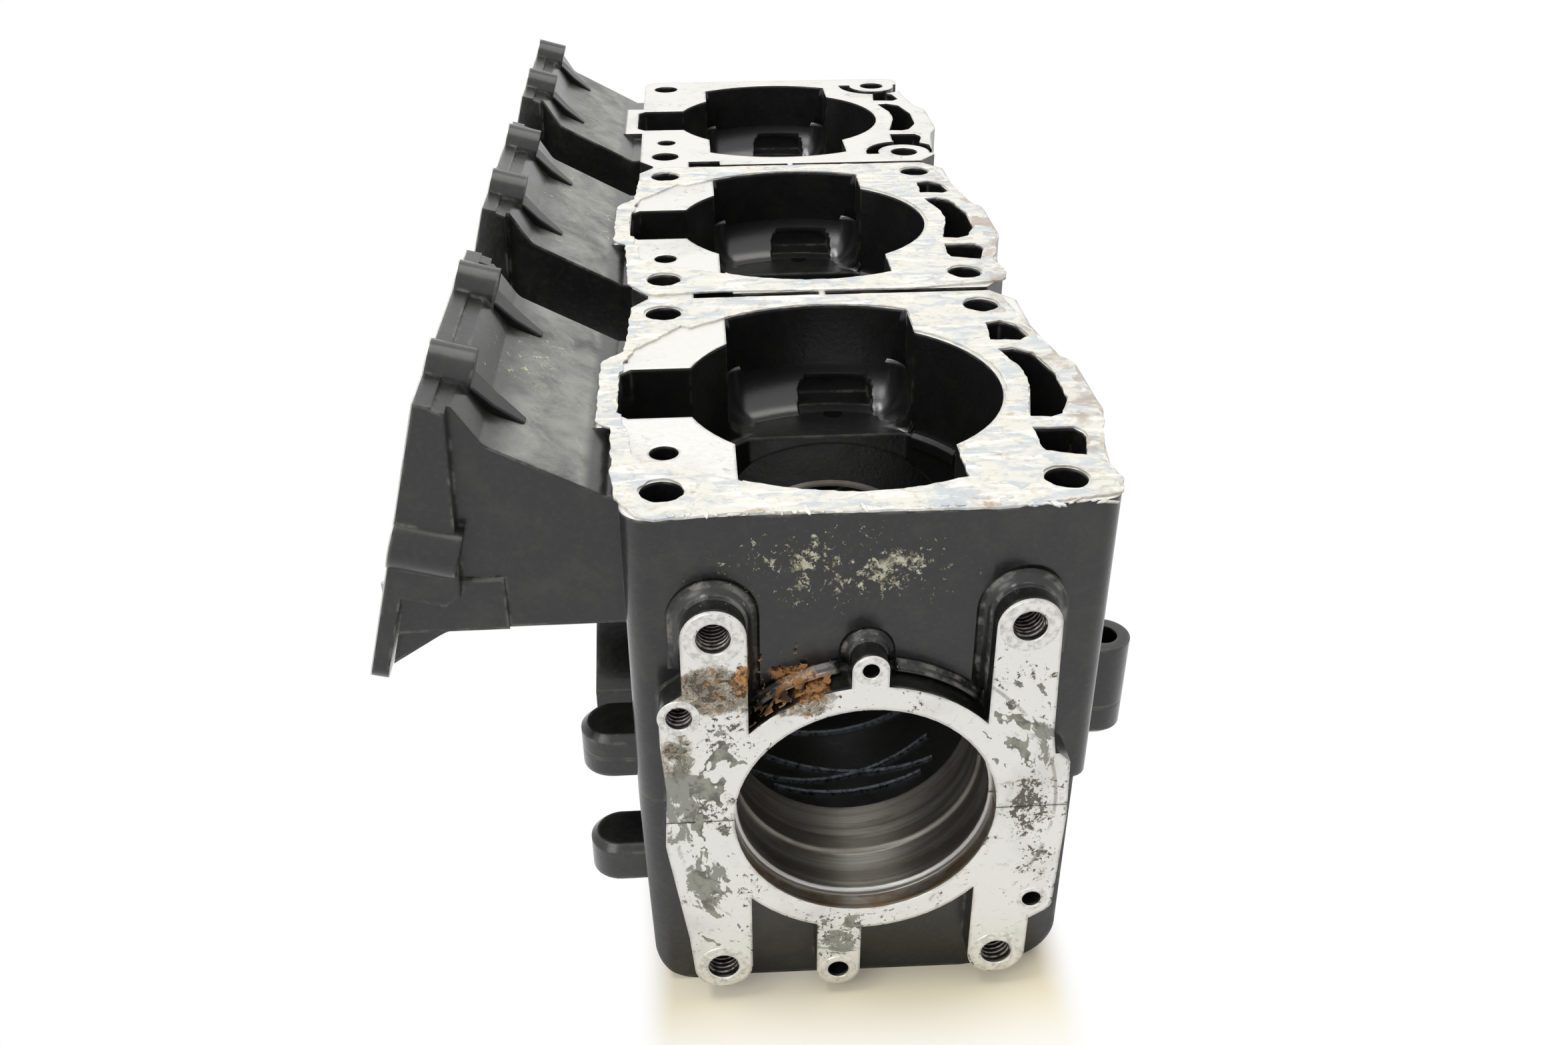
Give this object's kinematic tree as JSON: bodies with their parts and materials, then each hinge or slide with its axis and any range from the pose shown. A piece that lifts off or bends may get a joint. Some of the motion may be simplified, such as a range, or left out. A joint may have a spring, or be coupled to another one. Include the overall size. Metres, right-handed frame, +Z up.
{
  "type": "engine block",
  "caption": "Split crankcase of an in-line two-stroke engine with cylinder decks, water ways, tilted intake ducts and a bored front face.",
  "frame": {"origin": "crank axis on the machined front face", "axes": "+Y back along the crank, +Z up to the cylinder decks, +X to the exhaust side"},
  "size_m": [0.2053, 0.431, 0.1835],
  "materials": {
    "upper_casting": "cast aluminium under worn satin black paint, machined faces bare",
    "lower_casting": "cast aluminium under worn satin black paint, machined faces bare",
    "gasket": "old fibre gasket, mottled grey and cream",
    "bolt_steel": "dull zinc-plated steel",
    "dowel_steel": "ground steel"
  },
  "bodies": {
    "root": {"upper_crankcase": "upper_casting", "lower_crankcase": "lower_casting", "base_gasket_front": "gasket", "base_gasket_middle": "gasket", "main_bearing_bolts": "bolt_steel", "case_dowels": "dowel_steel"}
  },
  "joints": []
}
